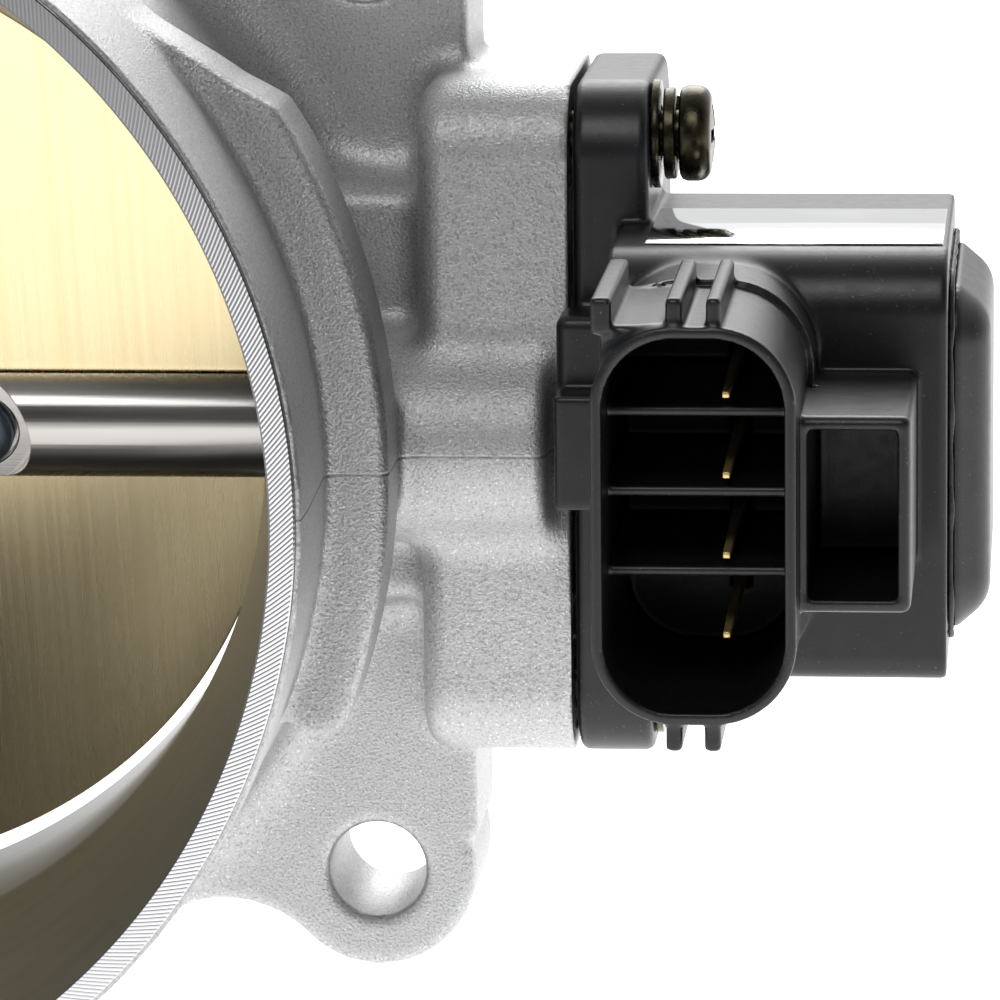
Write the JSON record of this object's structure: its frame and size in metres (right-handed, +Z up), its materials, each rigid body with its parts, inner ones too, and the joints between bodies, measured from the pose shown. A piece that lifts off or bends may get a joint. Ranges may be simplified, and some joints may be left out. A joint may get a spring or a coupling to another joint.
{
  "type": "throttle body",
  "caption": "Drive-by-wire throttle body: round duct with a brass blade on a cross shaft, bolt flange, gear tray, and a plastic cover with motor and plug socket.",
  "frame": {"origin": "on the engine-side flange face, on its vertical centre line, 46.8 mm below the bore axis", "axes": "+Y along the bore from the inlet to the engine, +X along the throttle shaft toward the gear cover, +Z up"},
  "size_m": [0.1523, 0.0643, 0.099],
  "materials": {
    "cast_aluminium": "sand-cast grain, machined faces",
    "steel": "ground",
    "blade_brass": "fine brushed",
    "zinc_steel": "olive zinc plating",
    "nylon": "moulded",
    "black_plastic": "spark-eroded moulding",
    "rubber": "plain",
    "magnet": "sintered",
    "copper": "copper",
    "iron": "stacked laminations",
    "carbon": "sintered carbon",
    "terminal_gold": "plated",
    "label_film": "blank film",
    "board": "circuit board",
    "pinion_brass": "machined"
  },
  "bodies": {
    "housing": {"throttle_casting": "cast_aluminium", "gear_cover": "black_plastic", "cover_lid": "black_plastic", "motor_end_cap": "black_plastic", "sensor_chip": "black_plastic", "cover_gasket": "rubber", "lid_sealant": "rubber", "flange_seal": "rubber", "left_shaft_seal": "rubber", "right_shaft_seal": "rubber", "blank_label": "label_film", "terminal_1": "terminal_gold", "terminal_2": "terminal_gold", "terminal_3": "terminal_gold", "terminal_4": "terminal_gold", "cover_screw_1": "zinc_steel", "cover_screw_2": "zinc_steel", "cover_screw_3": "zinc_steel", "spring_washer_1": "zinc_steel", "spring_washer_2": "zinc_steel", "spring_washer_3": "zinc_steel", "flat_washer_1": "zinc_steel", "flat_washer_2": "zinc_steel", "flat_washer_3": "zinc_steel", "shaft_plug": "zinc_steel", "left_bearing": "steel", "right_bearing": "steel", "idler_pin": "steel", "motor_can": "steel", "wave_washer": "steel", "return_spring": "steel", "motor_magnet_front": "magnet", "motor_magnet_rear": "magnet", "motor_brush_upper": "carbon", "motor_brush_lower": "carbon", "sensor_board": "board"},
    "throttle": {"throttle_shaft": "steel", "throttle_blade": "blade_brass", "blade_screw_left": "zinc_steel", "blade_screw_right": "zinc_steel", "sector_gear": "nylon", "sensor_magnet": "magnet"},
    "idler": {"idler_gear": "nylon"},
    "rotor": {"motor_shaft": "steel", "motor_pinion": "pinion_brass", "armature_core": "iron", "winding_front": "copper", "winding_rear": "copper", "commutator": "copper"}
  },
  "joints": [
    {"name": "throttle_hinge", "type": "hinge", "parent": "housing", "child": "throttle", "pos_m": [0, -0.014, 0.0468], "axis": [1, 0, 0], "range_deg": [-11.6, 72.4]},
    {"name": "idler_spin", "type": "hinge", "parent": "housing", "child": "idler", "pos_m": [0.062, -0.0132, 0.05877], "axis": [1, 0, 0], "range_deg": [-218, 36]},
    {"name": "rotor_spin", "type": "hinge", "parent": "housing", "child": "rotor", "pos_m": [0.062, -0.02041, 0.04918], "axis": [1, 0, 0], "range_deg": [-106, 653]}
  ],
  "couplings": [
    {"joint": "idler_spin", "follows": "throttle_hinge", "ratio": -3},
    {"joint": "rotor_spin", "follows": "throttle_hinge", "ratio": 9}
  ]
}
